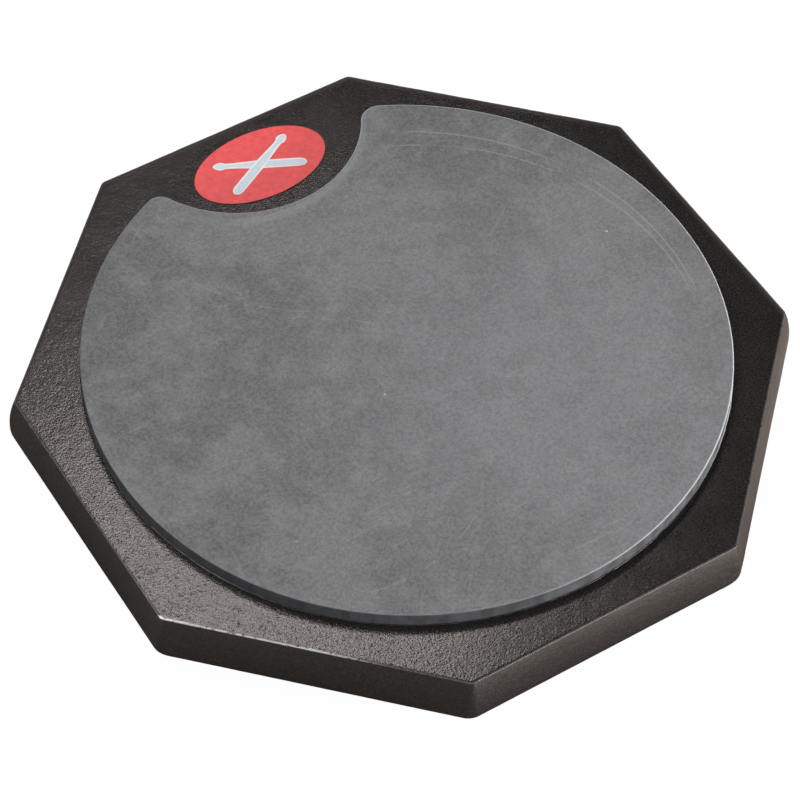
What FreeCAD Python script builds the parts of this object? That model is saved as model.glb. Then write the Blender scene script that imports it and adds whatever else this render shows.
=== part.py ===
import FreeCAD, Part
import math
import os

import Sketcher

# Drum practice pad, millimetres.
# Origin: centre of the plane that the four feet rest on.
# +Z is up, +Y points at the edge that carries the oval label.
# Each sub-part is drawn in its own local frame and set in place by its Placement.

doc = FreeCAD.newDocument("practice_pad")


# ---------------------------------------------------------------- driving dimensions

DIMENSIONS = [
    # Octagonal base board, 15 mm fibreboard with a routed edge
    ("board_across", 169.0),        # across the flats of the top face
    ("board_thickness", 15.0),
    ("edge_bulge", 1.95),           # how far the side stands out past the top face
    ("underside_round", 5.0),       # radius of the round under the widest line
    ("arris_ease", 0.6),            # rounding of the top edge
    ("corner_ease_top", 1.8),       # the mitred corners are sanded: crisp at the top edge,
    ("corner_ease_widest", 4.0),    # rounder at the board's widest line
    ("corner_ease_under", 6.0),     # and rounder still where they meet the underside
    ("blank_diameter", 200.0),      # round blank that the octagon is cut from
    # Gum rubber playing surface: a 6 inch disc with a round bite for the label
    ("pad_diameter", 152.4),
    ("pad_thickness", 3.7),
    ("pad_shift_x", 0.8),           # the disc is glued on by hand, a little off centre
    ("pad_shift_y", 0.5),
    ("pad_turn", -0.9),             # degrees about +Z
    ("notch_centre", 81.8),         # from the disc's centre
    ("notch_radius", 30.4),
    ("shoulder_radius", 3.8),
    ("rubber_ease", 0.3),
    # Glue film under the rubber, with a fine bead squeezed out all round
    ("glue_thickness", 0.2),
    ("glue_bead", 0.25),
    # Oval label
    ("label_length", 35.2),
    ("label_width", 21.2),
    ("label_thickness", 0.2),
    ("label_x", 1.0),
    ("label_y", 69.7),
    ("label_turn", 1.2),            # degrees about +Z
    # M8 tee nut in the middle of the board, flange up under the rubber
    ("nut_bore", 6.65),             # minor diameter of the M8 thread
    ("nut_bore_chamfer", 0.7),
    ("nut_barrel", 10.0),
    ("nut_flange", 22.0),
    ("nut_flange_thickness", 1.5),
    ("nut_height", 13.0),
    ("prong_count", 4.0),
    ("prong_radius", 9.0),          # from the axis to the prong's inner face
    ("prong_thickness", 1.2),
    ("prong_width", 4.4),           # where it leaves the flange
    ("prong_tip_width", 0.8),
    ("prong_length", 6.5),
    ("nut_clearance", 0.1),         # between the nut and the board all round
    # Screwed rubber feet
    ("foot_circle", 62.0),          # from the centre to each foot
    ("foot_height", 5.0),
    ("foot_base", 16.0),            # diameter against the board
    ("foot_tip", 13.6),             # diameter on the floor
    ("foot_tip_round", 1.0),
    ("foot_recess", 9.6),
    ("foot_recess_depth", 3.2),
    ("foot_hole", 3.8),
    # Washer and pan-head screw of each foot
    ("washer_outer", 9.0),
    ("washer_hole", 3.7),
    ("washer_thickness", 0.8),
    ("screw_head", 6.8),
    ("screw_head_height", 1.9),
    ("screw_head_round", 0.9),
    ("screw_shank", 3.0),
    ("screw_length", 12.7),
    ("screw_point", 2.5),
    ("driver_span", 3.8),           # cross recess, tip to tip
    ("driver_slot", 0.9),
    ("driver_depth", 1.1),
    ("pilot_hole", 3.1),
    ("pilot_spare", 0.6),           # depth of the pilot hole past the screw's point
]

EDGE_COUNT = 8                      # sides of the board
TOUCH = 1e-3                        # lengths and angles closer than this are the same
FOOT_ANGLES = {
    "rear_right_foot": 45.0,
    "rear_left_foot": 135.0,
    "front_left_foot": 225.0,
    "front_right_foot": 315.0,
}

sheet = doc.addObject("Spreadsheet::Sheet", "dims")
for row, (alias, value) in enumerate(DIMENSIONS, start=1):
    sheet.set("A%d" % row, alias)
    sheet.set("B%d" % row, str(value))
    sheet.setAlias("B%d" % row, alias)
doc.recompute()


def value_of(expression):
    """The number that an expression on the sheet gives now."""
    return float(sheet.evalExpression(expression))


# ---------------------------------------------------------------- drawing helpers

START, END, CENTRE = 1, 2, 3        # point positions on a sketch element
X_AXIS, Y_AXIS = -1, -2             # the sketch's own axes
ORIGIN = (X_AXIS, START)


def new_body(label):
    body = doc.addObject("PartDesign::Body", label)
    body.Label = label
    return body


def new_sketch(body, role, name):
    """A sketch on one of the body's own origin planes."""
    plane = next(item for item in body.Origin.OriginFeatures if item.Role == role)
    sketch = body.newObject("Sketcher::SketchObject", name)
    sketch.AttachmentSupport = [(plane, "")]
    sketch.MapMode = "FlatFace"
    return sketch


def origin_axis(body, role):
    axis = next(item for item in body.Origin.OriginFeatures if item.Role == role)
    return (axis, [""])


def bind(sketch, kind, elements, name, expression):
    """Add a dimension that follows the sheet."""
    constraint = Sketcher.Constraint(kind, *elements, value_of(expression))
    index = sketch.addConstraint(constraint)
    sketch.renameConstraint(index, name)
    sketch.setExpression("Constraints." + name, expression)


def place_point(sketch, element, position, name, x, y):
    """Hold a point of a sketch at (x, y), each an expression."""
    if x == "0":
        sketch.addConstraint(Sketcher.Constraint("PointOnObject", element, position, Y_AXIS))
    else:
        bind(sketch, "DistanceX", (*ORIGIN, element, position), name + "_across", x)
    if y == "0":
        sketch.addConstraint(Sketcher.Constraint("PointOnObject", element, position, X_AXIS))
    else:
        bind(sketch, "DistanceY", (*ORIGIN, element, position), name + "_up", y)


def draw_polygon(sketch, corners):
    """A closed outline of straight lines through corners given as pairs of expressions."""
    points = [FreeCAD.Vector(value_of(x), value_of(y), 0) for x, y in corners]
    count = len(points)
    for number in range(count):
        line = Part.LineSegment(points[number], points[(number + 1) % count])
        sketch.addGeometry(line)
    for number in range(count):
        following = (number + 1) % count
        sketch.addConstraint(Sketcher.Constraint("Coincident", number, END, following, START))
    for number, (x, y) in enumerate(corners):
        place_point(sketch, number, START, "corner%d" % number, x, y)


def draw_circle(sketch, name, x, y, diameter):
    centre = FreeCAD.Vector(value_of(x), value_of(y), 0)
    circle = Part.Circle(centre, FreeCAD.Vector(0, 0, 1), value_of(diameter) / 2)
    index = sketch.addGeometry(circle)
    place_point(sketch, index, CENTRE, name, x, y)
    bind(sketch, "Diameter", (index,), name + "_diameter", diameter)


def arc(centre, radius, start_angle, end_angle):
    circle = Part.Circle(centre, FreeCAD.Vector(0, 0, 1), radius)
    return Part.ArcOfCircle(circle, start_angle, end_angle)


def angle_from(centre, point):
    return math.atan2(point.y - centre.y, point.x - centre.x)


def pad_up(body, sketch, name, length):
    pad = body.newObject("PartDesign::Pad", name)
    pad.Profile = sketch
    pad.setExpression("Length", length)
    return pad


def revolve(body, sketch, name):
    """Turn a profile a full turn about its sketch's vertical axis."""
    revolution = body.newObject("PartDesign::Revolution", name)
    revolution.Profile = sketch
    revolution.ReferenceAxis = (sketch, ["V_Axis"])
    revolution.Angle = 360
    return revolution


def pocket(body, sketch, name, depth=None, reverse=False):
    """Cut a sketch to a depth, or both ways through all when no depth is given."""
    cut = body.newObject("PartDesign::Pocket", name)
    cut.Profile = sketch
    if depth is None:
        cut.Type = "ThroughAll"
        cut.Midplane = True
    else:
        cut.setExpression("Length", depth)
        cut.Reversed = reverse
    return cut


def pattern_round_z(body, feature, name, count):
    """Repeat a feature evenly round the body's own Z axis."""
    pattern = body.newObject("PartDesign::PolarPattern", name)
    pattern.Originals = [feature]
    pattern.Axis = origin_axis(body, "Z_Axis")
    pattern.Angle = 360
    pattern.Occurrences = count
    body.Tip = pattern
    return pattern


def edge_names(shape, wanted):
    return ["Edge%d" % number for number, edge in enumerate(shape.Edges, start=1) if wanted(edge)]


def round_edges(body, base, name, wanted, radius):
    doc.recompute()
    fillet = body.newObject("PartDesign::Fillet", name)
    fillet.Base = (base, edge_names(base.Shape, wanted))
    fillet.setExpression("Radius", radius)
    return fillet


def changed_volume(body, before, name, cuts):
    """The body's volume after a feature, which must have cut or added something."""
    doc.recompute()
    after = body.Shape.Volume
    change = before - after if cuts else after - before
    if change <= 0:
        raise RuntimeError("%s changed nothing" % name)
    return after


# ---------------------------------------------------------------- base board

def draw_edge_scrap(sketch):
    """What the router takes off one side: everything outside the board's edge profile.

    From the top edge the side bows out on a large arc, is widest where that arc is
    upright, and turns under on a smaller arc that ends in the underside.
    """
    half_across = value_of("dims.board_across / 2")
    widest = value_of("dims.board_across / 2 + dims.edge_bulge")
    top = value_of("dims.board_thickness")
    under = value_of("dims.underside_round")
    outside = value_of("dims.blank_diameter / 2 + dims.board_thickness")
    margin = value_of("dims.board_thickness / 2")
    bow_height = top - under
    bow_depth = widest - half_across
    bow_radius = (bow_height ** 2 + bow_depth ** 2) / (2 * bow_depth)
    bow_centre = FreeCAD.Vector(widest - bow_radius, under, 0)
    under_centre = FreeCAD.Vector(widest - under, under, 0)
    corners = [
        FreeCAD.Vector(half_across, top, 0),
        FreeCAD.Vector(half_across, top + margin, 0),
        FreeCAD.Vector(outside, top + margin, 0),
        FreeCAD.Vector(outside, -margin, 0),
        FreeCAD.Vector(widest - under, -margin, 0),
        FreeCAD.Vector(widest - under, 0, 0),
    ]
    bow = sketch.addGeometry(arc(bow_centre, bow_radius, 0, angle_from(bow_centre, corners[0])))
    lines = [
        sketch.addGeometry(Part.LineSegment(corners[number], corners[number + 1]))
        for number in range(len(corners) - 1)
    ]
    turn = sketch.addGeometry(arc(under_centre, under, -math.pi / 2, 0))

    sketch.addConstraint(Sketcher.Constraint("Coincident", bow, END, lines[0], START))
    for first, second in zip(lines, lines[1:]):
        sketch.addConstraint(Sketcher.Constraint("Coincident", first, END, second, START))
    sketch.addConstraint(Sketcher.Constraint("Coincident", lines[-1], END, turn, START))
    sketch.addConstraint(Sketcher.Constraint("Tangent", bow, START, turn, END))
    for upright in (lines[0], lines[2], lines[4]):
        sketch.addConstraint(Sketcher.Constraint("Vertical", upright))
    for level in (lines[1], lines[3]):
        sketch.addConstraint(Sketcher.Constraint("Horizontal", level))
    sketch.addConstraint(Sketcher.Constraint("Vertical", turn, START, turn, CENTRE))
    sketch.addConstraint(Sketcher.Constraint("Horizontal", turn, END, turn, CENTRE))
    sketch.addConstraint(Sketcher.Constraint("PointOnObject", turn, START, X_AXIS))
    place_point(
        sketch, turn, CENTRE, "turn",
        "dims.board_across / 2 + dims.edge_bulge - dims.underside_round",
        "dims.underside_round",
    )
    place_point(sketch, bow, END, "top_edge", "dims.board_across / 2", "dims.board_thickness")
    bind(sketch, "DistanceY", (lines[0], START, lines[0], END), "above", "dims.board_thickness / 2")
    bind(sketch, "DistanceY", (lines[3], END, *ORIGIN), "below", "dims.board_thickness / 2")
    bind(
        sketch, "DistanceX", (*ORIGIN, lines[2], START), "outside",
        "dims.blank_diameter / 2 + dims.board_thickness",
    )


def is_corner_edge(edge):
    """True for the mitre lines that run down the board's side at its eight corners."""
    half_side = math.pi / EDGE_COUNT
    for vertex in edge.Vertexes:
        turn = math.atan2(vertex.Y, vertex.X) % (2 * half_side)
        if abs(turn - half_side) > TOUCH:
            return False
    return edge.BoundBox.ZLength > TOUCH


def corner_radius(height):
    """How round the corners are at a height above the underside where a mitre line ends."""
    if height < TOUCH:
        return value_of("dims.corner_ease_under")
    if abs(height - value_of("dims.underside_round")) < TOUCH:
        return value_of("dims.corner_ease_widest")
    return value_of("dims.corner_ease_top")


def ease_corners(body):
    """Sand the corners with a radius that grows from the top edge down."""
    doc.recompute()
    underside = body.Shape.BoundBox.ZMin
    sanded = []
    for number, edge in enumerate(body.Shape.Edges, start=1):
        if is_corner_edge(edge):
            first = edge.valueAt(edge.FirstParameter).z - underside
            last = edge.valueAt(edge.LastParameter).z - underside
            sanded.append((number, corner_radius(first), corner_radius(last)))
    fillet = doc.addObject("Part::Fillet", "eased_corners")
    fillet.Base = body
    fillet.Edges = sanded
    return fillet


def ease_arris(base, label):
    """Break the sharp top edge all the way round."""
    doc.recompute()
    top = value_of("dims.foot_height + dims.board_thickness")
    radius = value_of("dims.arris_ease")
    outside_nut = value_of("dims.nut_flange")
    outer_edges = []
    for number, edge in enumerate(base.Shape.Edges, start=1):
        middle = edge.CenterOfMass
        is_outer = math.hypot(middle.x, middle.y) > outside_nut
        if is_outer and edge.BoundBox.ZMin > top - TOUCH:
            outer_edges.append((number, radius, radius))
    fillet = doc.addObject("Part::Fillet", label)
    fillet.Label = label
    fillet.Base = base
    fillet.Edges = outer_edges
    return fillet


def make_base_board():
    body = new_body("board_machined")
    sketch = new_sketch(body, "XY_Plane", "board_blank_sketch")
    draw_circle(sketch, "blank", "0", "0", "dims.blank_diameter")
    pad_up(body, sketch, "board_blank", "dims.board_thickness")
    doc.recompute()
    volume = body.Shape.Volume

    sketch = new_sketch(body, "XZ_Plane", "router_pass_sketch")
    draw_edge_scrap(sketch)
    router_pass = pocket(body, sketch, "router_pass")
    volume = changed_volume(body, volume, "router_pass", cuts=True)
    pattern_round_z(body, router_pass, "eight_sides", EDGE_COUNT)
    volume = changed_volume(body, volume, "eight_sides", cuts=True)

    cut_nut_seat(body, volume)
    cut_pilot_holes(body)
    body.setExpression(".Placement.Base.z", "dims.foot_height")
    volume = body.Shape.Volume
    corners = ease_corners(body)
    volume = changed_volume(corners, volume, "eased_corners", cuts=True)
    board = ease_arris(corners, "base_board")
    changed_volume(board, volume, "eased_arris", cuts=True)
    return board


def cut_nut_seat(body, volume):
    """Through hole for the barrel, a sunk seat for the flange and slots for the prongs."""
    sketch = new_sketch(body, "XY_Plane", "barrel_hole_sketch")
    draw_circle(sketch, "barrel_hole", "0", "0", "dims.nut_barrel + 2 * dims.nut_clearance")
    pocket(body, sketch, "barrel_hole")
    volume = changed_volume(body, volume, "barrel_hole", cuts=True)

    sketch = new_sketch(body, "XY_Plane", "flange_seat_sketch")
    sketch.setExpression(
        ".AttachmentOffset.Base.z",
        "dims.board_thickness - dims.nut_flange_thickness - dims.nut_clearance",
    )
    draw_circle(sketch, "seat", "0", "0", "dims.nut_flange + 2 * dims.nut_clearance")
    pocket(
        body, sketch, "flange_seat",
        "dims.nut_flange_thickness + 2 * dims.nut_clearance", reverse=True,
    )
    volume = changed_volume(body, volume, "flange_seat", cuts=True)

    sketch = new_sketch(body, "YZ_Plane", "prong_slot_sketch")
    sketch.setExpression(".AttachmentOffset.Base.z", "dims.prong_radius - dims.nut_clearance")
    draw_prong(sketch, "dims.board_thickness - dims.nut_clearance", "dims.nut_clearance")
    slot = pocket(
        body, sketch, "prong_slot", "dims.prong_thickness + 2 * dims.nut_clearance", reverse=True,
    )
    volume = changed_volume(body, volume, "prong_slot", cuts=True)
    pattern_round_z(body, slot, "prong_slots", int(value_of("dims.prong_count")))
    changed_volume(body, volume, "prong_slots", cuts=True)


def cut_pilot_holes(body):
    """Blind holes that the foot screws bite into, open on the underside."""
    volume = body.Shape.Volume
    sketch = new_sketch(body, "XY_Plane", "pilot_hole_sketch")
    draw_circle(
        sketch, "pilot",
        "dims.foot_circle * sqrt(2) / 2", "dims.foot_circle * sqrt(2) / 2", "dims.pilot_hole",
    )
    depth = (
        "dims.screw_length - dims.washer_thickness - dims.foot_height"
        " + dims.foot_recess_depth + dims.pilot_spare"
    )
    hole = pocket(body, sketch, "pilot_hole", depth, reverse=True)
    volume = changed_volume(body, volume, "pilot_hole", cuts=True)
    pattern_round_z(body, hole, "pilot_holes", len(FOOT_ANGLES))
    changed_volume(body, volume, "pilot_holes", cuts=True)


# ---------------------------------------------------------------- rubber and glue

def draw_pad_outline(sketch, grow):
    """The disc with its round bite, grown all round by an expression.

    The shoulders are arcs inside the rim and outside the bite, tangent to both.
    """
    rim_radius = value_of("dims.pad_diameter / 2 + " + grow)
    bite_radius = value_of("dims.notch_radius - " + grow)
    shoulder = value_of("dims.shoulder_radius + " + grow)
    rim_centre = FreeCAD.Vector(0, 0, 0)
    bite_centre = FreeCAD.Vector(0, value_of("dims.notch_centre"), 0)
    inner = rim_radius - shoulder
    outer = bite_radius + shoulder
    up = (inner ** 2 - outer ** 2 + bite_centre.y ** 2) / (2 * bite_centre.y)
    right = FreeCAD.Vector(math.sqrt(inner ** 2 - up ** 2), up, 0)
    left = FreeCAD.Vector(-right.x, right.y, 0)

    rim = sketch.addGeometry(arc(
        rim_centre, rim_radius,
        angle_from(rim_centre, left), angle_from(rim_centre, right) + 2 * math.pi,
    ))
    bite = sketch.addGeometry(arc(
        bite_centre, bite_radius,
        angle_from(bite_centre, left) + 2 * math.pi, angle_from(bite_centre, right) + 2 * math.pi,
    ))
    right_shoulder = sketch.addGeometry(arc(
        right, shoulder, angle_from(rim_centre, right), angle_from(right, bite_centre),
    ))
    left_shoulder = sketch.addGeometry(arc(
        left, shoulder, angle_from(left, bite_centre), angle_from(rim_centre, left),
    ))

    for first, first_end, second, second_end in (
        (rim, END, right_shoulder, START),
        (right_shoulder, END, bite, END),
        (bite, START, left_shoulder, START),
        (left_shoulder, END, rim, START),
    ):
        sketch.addConstraint(Sketcher.Constraint("Tangent", first, first_end, second, second_end))
    sketch.addConstraint(Sketcher.Constraint("Coincident", rim, CENTRE, *ORIGIN))
    sketch.addConstraint(Sketcher.Constraint("Equal", right_shoulder, left_shoulder))
    place_point(sketch, bite, CENTRE, "bite", "0", "dims.notch_centre")
    bind(sketch, "Radius", (rim,), "rim_radius", "dims.pad_diameter / 2 + " + grow)
    bind(sketch, "Radius", (bite,), "bite_radius", "dims.notch_radius - " + grow)
    bind(sketch, "Radius", (right_shoulder,), "shoulder_radius", "dims.shoulder_radius + " + grow)


def place_on_board(body, z):
    body.Placement = FreeCAD.Placement(
        FreeCAD.Vector(), FreeCAD.Rotation(FreeCAD.Vector(0, 0, 1), value_of("dims.pad_turn")),
    )
    body.setExpression(".Placement.Base.x", "dims.pad_shift_x")
    body.setExpression(".Placement.Base.y", "dims.pad_shift_y")
    body.setExpression(".Placement.Base.z", z)
    body.setExpression(".Placement.Rotation.Angle", "dims.pad_turn")


def make_playing_surface():
    body = new_body("playing_surface")
    sketch = new_sketch(body, "XY_Plane", "pad_outline")
    draw_pad_outline(sketch, "0")
    disc = pad_up(body, sketch, "rubber_disc", "dims.pad_thickness")
    doc.recompute()
    volume = body.Shape.Volume
    top = value_of("dims.pad_thickness")
    round_edges(
        body, disc, "eased_rim",
        lambda edge: edge.BoundBox.ZMin > top - TOUCH,
        "dims.rubber_ease",
    )
    changed_volume(body, volume, "eased_rim", cuts=True)
    place_on_board(body, "dims.foot_height + dims.board_thickness + dims.glue_thickness")
    return body


def make_pad_adhesive():
    body = new_body("pad_adhesive")
    sketch = new_sketch(body, "XY_Plane", "glue_outline")
    draw_pad_outline(sketch, "dims.glue_bead")
    pad_up(body, sketch, "glue_film", "dims.glue_thickness")
    place_on_board(body, "dims.foot_height + dims.board_thickness")
    return body


# ---------------------------------------------------------------- label

def make_emblem_label():
    body = new_body("emblem_label")
    sketch = new_sketch(body, "XY_Plane", "oval_sketch")
    half_length = value_of("dims.label_length / 2")
    half_width = value_of("dims.label_width / 2")
    oval = sketch.addGeometry(Part.Ellipse(
        FreeCAD.Vector(half_length, 0, 0), FreeCAD.Vector(0, half_width, 0), FreeCAD.Vector(),
    ))
    sketch.exposeInternalGeometry(oval)
    major, minor = oval + 1, oval + 2
    sketch.addConstraint(Sketcher.Constraint("Coincident", oval, CENTRE, *ORIGIN))
    sketch.addConstraint(Sketcher.Constraint("Horizontal", major))
    bind(sketch, "Distance", (major, START, major, END), "oval_length", "dims.label_length")
    bind(sketch, "Distance", (minor, START, minor, END), "oval_width", "dims.label_width")
    pad_up(body, sketch, "oval_sheet", "dims.label_thickness")
    body.Placement = FreeCAD.Placement(
        FreeCAD.Vector(), FreeCAD.Rotation(FreeCAD.Vector(0, 0, 1), value_of("dims.label_turn")),
    )
    body.setExpression(".Placement.Base.x", "dims.label_x")
    body.setExpression(".Placement.Base.y", "dims.label_y")
    body.setExpression(".Placement.Base.z", "dims.foot_height + dims.board_thickness")
    body.setExpression(".Placement.Rotation.Angle", "dims.label_turn")
    return body


# ---------------------------------------------------------------- tee nut

def draw_prong(sketch, top, grow):
    """A prong seen square on: it tapers down from the flange to a blunt tip."""
    half_root = "(dims.prong_width / 2 + %s)" % grow
    half_tip = "(dims.prong_tip_width / 2 + %s)" % grow
    root_up = "(%s - dims.nut_flange_thickness)" % top
    tip_up = "(%s - dims.nut_flange_thickness - dims.prong_length - %s)" % (top, grow)
    draw_polygon(sketch, [
        (half_root, root_up),
        ("-" + half_root, root_up),
        ("-" + half_tip, tip_up),
        (half_tip, tip_up),
    ])


def make_stand_insert():
    """Local z = 0 is the open end of the barrel, the flange is at the top."""
    body = new_body("stand_insert")
    sketch = new_sketch(body, "XZ_Plane", "nut_profile")
    bore = "dims.nut_bore / 2"
    barrel = "dims.nut_barrel / 2"
    flange = "dims.nut_flange / 2"
    shoulder = "dims.nut_height - dims.nut_flange_thickness"
    draw_polygon(sketch, [
        (bore + " + dims.nut_bore_chamfer", "0"),
        (barrel, "0"),
        (barrel, shoulder),
        (flange, shoulder),
        (flange, "dims.nut_height"),
        (bore, "dims.nut_height"),
        (bore, "dims.nut_bore_chamfer"),
    ])
    revolve(body, sketch, "flange_and_barrel")
    doc.recompute()
    volume = body.Shape.Volume

    sketch = new_sketch(body, "YZ_Plane", "prong_sketch")
    sketch.setExpression(".AttachmentOffset.Base.z", "dims.prong_radius")
    draw_prong(sketch, "dims.nut_height", "0")
    prong = pad_up(body, sketch, "prong", "dims.prong_thickness")
    volume = changed_volume(body, volume, "prong", cuts=False)
    pattern_round_z(body, prong, "prongs", int(value_of("dims.prong_count")))
    changed_volume(body, volume, "prongs", cuts=False)
    body.setExpression(
        ".Placement.Base.z", "dims.foot_height + dims.board_thickness - dims.nut_height",
    )
    return body


# ---------------------------------------------------------------- feet and their fasteners

def make_foot(label, angle):
    """A rubber foot: a short cone with a recess that hides the washer and screw head."""
    body = new_body(label)
    sketch = new_sketch(body, "XZ_Plane", label + "_profile")
    hole = "dims.foot_hole / 2"
    recess = "dims.foot_recess / 2"
    draw_polygon(sketch, [
        (hole, "dims.foot_height"),
        (hole, "dims.foot_recess_depth"),
        (recess, "dims.foot_recess_depth"),
        (recess, "0"),
        ("dims.foot_tip / 2", "0"),
        ("dims.foot_base / 2", "dims.foot_height"),
    ])
    cone = revolve(body, sketch, label + "_cone")
    doc.recompute()
    volume = body.Shape.Volume
    tip_radius = value_of("dims.foot_tip / 2")
    round_edges(
        body, cone, label + "_tip_round",
        lambda edge: edge.BoundBox.ZMax < TOUCH and abs(edge.BoundBox.XMax - tip_radius) < TOUCH,
        "dims.foot_tip_round",
    )
    changed_volume(body, volume, label + "_tip_round", cuts=True)
    body.setExpression(".Placement.Base.x", "dims.foot_circle * cos(%g deg)" % angle)
    body.setExpression(".Placement.Base.y", "dims.foot_circle * sin(%g deg)" % angle)
    return body


def turn_to_feet(body):
    """The fasteners are drawn at +X and repeated round Z, so turn them onto the feet."""
    body.Placement = FreeCAD.Placement(
        FreeCAD.Vector(), FreeCAD.Rotation(FreeCAD.Vector(0, 0, 1), min(FOOT_ANGLES.values())),
    )


def make_foot_washers():
    """Four flat washers, one against the floor of each foot's recess."""
    body = new_body("foot_washers")
    body.AllowCompound = True
    sketch = new_sketch(body, "XY_Plane", "washer_sketch")
    draw_circle(sketch, "outer", "dims.foot_circle", "0", "dims.washer_outer")
    draw_circle(sketch, "hole", "dims.foot_circle", "0", "dims.washer_hole")
    washer = pad_up(body, sketch, "washer", "dims.washer_thickness")
    pattern_round_z(body, washer, "washers", len(FOOT_ANGLES))
    turn_to_feet(body)
    body.setExpression(".Placement.Base.z", "dims.foot_recess_depth - dims.washer_thickness")
    return body


def make_foot_screws():
    """Four pan-head screws with cross recesses, heads down inside the feet."""
    body = new_body("foot_screws")
    body.AllowCompound = True
    sketch = new_sketch(body, "XZ_Plane", "screw_profile")
    sketch.setExpression(".AttachmentOffset.Base.x", "dims.foot_circle")
    head = "dims.screw_head / 2"
    shank = "dims.screw_shank / 2"
    end = "dims.screw_head_height + dims.screw_length"
    draw_polygon(sketch, [
        ("0", "0"),
        (head, "0"),
        (head, "dims.screw_head_height"),
        (shank, "dims.screw_head_height"),
        (shank, end + " - dims.screw_point"),
        ("0", end),
    ])
    screw = revolve(body, sketch, "screw")
    head_radius = value_of(head)
    dome = round_edges(
        body, screw, "head_round",
        lambda edge: edge.BoundBox.ZMax < TOUCH and edge.BoundBox.YMax > head_radius - TOUCH,
        "dims.screw_head_round",
    )
    doc.recompute()
    volume = body.Shape.Volume
    sketch = new_sketch(body, "XY_Plane", "driver_sketch")
    sketch.setExpression(".AttachmentOffset.Base.x", "dims.foot_circle")
    span, slot = "dims.driver_span / 2", "dims.driver_slot / 2"
    quarter = [(span, slot), (slot, slot), (slot, span)]
    draw_polygon(sketch, [
        (sign_x + x, sign_y + y)
        for sign_x, sign_y, corners in (
            ("", "", quarter),
            ("-", "", quarter[::-1]),
            ("-", "-", quarter),
            ("", "-", quarter[::-1]),
        )
        for x, y in corners
    ])
    cross = pocket(body, sketch, "driver_recess", "dims.driver_depth", reverse=True)
    changed_volume(body, volume, "driver_recess", cuts=True)
    pattern = pattern_round_z(body, screw, "screws", len(FOOT_ANGLES))
    pattern.Originals = [screw, dome, cross]
    turn_to_feet(body)
    body.setExpression(
        ".Placement.Base.z",
        "dims.foot_recess_depth - dims.washer_thickness - dims.screw_head_height",
    )
    return body


# ---------------------------------------------------------------- assembly and output

SOLIDS_IN = {"foot_washers": len(FOOT_ANGLES), "foot_screws": len(FOOT_ANGLES)}


def check_document(sub_parts):
    for item in doc.Objects:
        if "Invalid" in item.State or "Error" in item.State:
            raise RuntimeError("%s failed: %s" % (item.Name, item.State))
    for sub_part in sub_parts:
        shape = sub_part.Shape
        if shape.isNull() or not shape.isValid():
            raise RuntimeError("%s has no valid shape" % sub_part.Label)
        if len(shape.Solids) != SOLIDS_IN.get(sub_part.Label, 1):
            raise RuntimeError("%s holds %d solids" % (sub_part.Label, len(shape.Solids)))


def write_steps(sub_parts):
    os.makedirs("parts", exist_ok=True)
    for sub_part in sub_parts:
        sub_part.Shape.exportStep(os.path.join("parts", sub_part.Label + ".step"))


sub_parts = [
    make_base_board(),
    make_pad_adhesive(),
    make_playing_surface(),
    make_emblem_label(),
    make_stand_insert(),
    make_foot_washers(),
    make_foot_screws(),
]
for foot_label, foot_angle in FOOT_ANGLES.items():
    sub_parts.append(make_foot(foot_label, foot_angle))
doc.recompute()
check_document(sub_parts)
write_steps(sub_parts)
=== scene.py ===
import math

import bmesh
import bpy
from mathutils import Matrix, Vector, noise


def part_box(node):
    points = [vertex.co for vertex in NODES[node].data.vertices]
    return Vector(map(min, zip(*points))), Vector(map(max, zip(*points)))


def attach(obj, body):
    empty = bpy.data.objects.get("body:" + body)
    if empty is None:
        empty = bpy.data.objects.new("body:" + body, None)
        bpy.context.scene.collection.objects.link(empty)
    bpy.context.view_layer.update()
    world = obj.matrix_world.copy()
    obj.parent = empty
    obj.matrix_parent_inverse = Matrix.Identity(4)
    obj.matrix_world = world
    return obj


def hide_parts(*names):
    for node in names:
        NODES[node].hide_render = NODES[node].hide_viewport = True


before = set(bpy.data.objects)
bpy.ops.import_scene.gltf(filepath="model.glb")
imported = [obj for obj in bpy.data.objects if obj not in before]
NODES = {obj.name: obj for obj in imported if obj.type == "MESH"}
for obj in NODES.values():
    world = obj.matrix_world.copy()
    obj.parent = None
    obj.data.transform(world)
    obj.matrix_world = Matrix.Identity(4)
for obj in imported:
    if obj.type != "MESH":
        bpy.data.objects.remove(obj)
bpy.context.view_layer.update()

# Drum practice pad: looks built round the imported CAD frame. Metres, +Z up, +Y towards the label's edge.

MM = 0.001
TAU = 2 * math.pi
HALF_ROOT = math.sqrt(0.5)

BOARD_LOW, BOARD_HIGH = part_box("base_board")
RUBBER_LOW, RUBBER_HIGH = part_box("playing_surface")
GLUE_LOW, GLUE_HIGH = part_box("pad_adhesive")
LABEL_LOW, LABEL_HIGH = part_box("emblem_label")
NUT_LOW, NUT_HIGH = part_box("stand_insert")
BOARD_TOP = BOARD_HIGH.z
RUBBER_TOP = RUBBER_HIGH.z

# Sizes that the boxes alone don't give
EDGE_BULGE = 1.95 * MM              # the side stands out past the top face
TOP_REACH = BOARD_HIGH.x - EDGE_BULGE
UNDERSIDE_ROUND = 5.0 * MM
ARRIS_WIDTH = 0.62 * MM             # paint rolls off towards the top edge over this width
ARRIS_DROP = 0.055 * MM
ARRIS_ROUND = 0.28 * MM
CORNER_ROUND_TOP = 1.8 * MM
CORNER_ROUND_WIDEST = 4.0 * MM
CORNER_ROUND_UNDER = 6.0 * MM
HIDDEN_REACH = 48 * MM              # the rubber hides the top face nearer the middle than this
DENSE_REACH = 72 * MM               # the mesh is finest from here outwards
NUT_SEAT = 11.1 * MM
NUT_SEAT_DEPTH = 1.6 * MM
NUT_BARREL_HOLE = 5.1 * MM
NOTCH_CENTRE = 81.8 * MM
NOTCH_RADIUS = 30.4 * MM
LEFT_SHOULDER = 3.8 * MM            # rounds where the bite meets the rim
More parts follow.
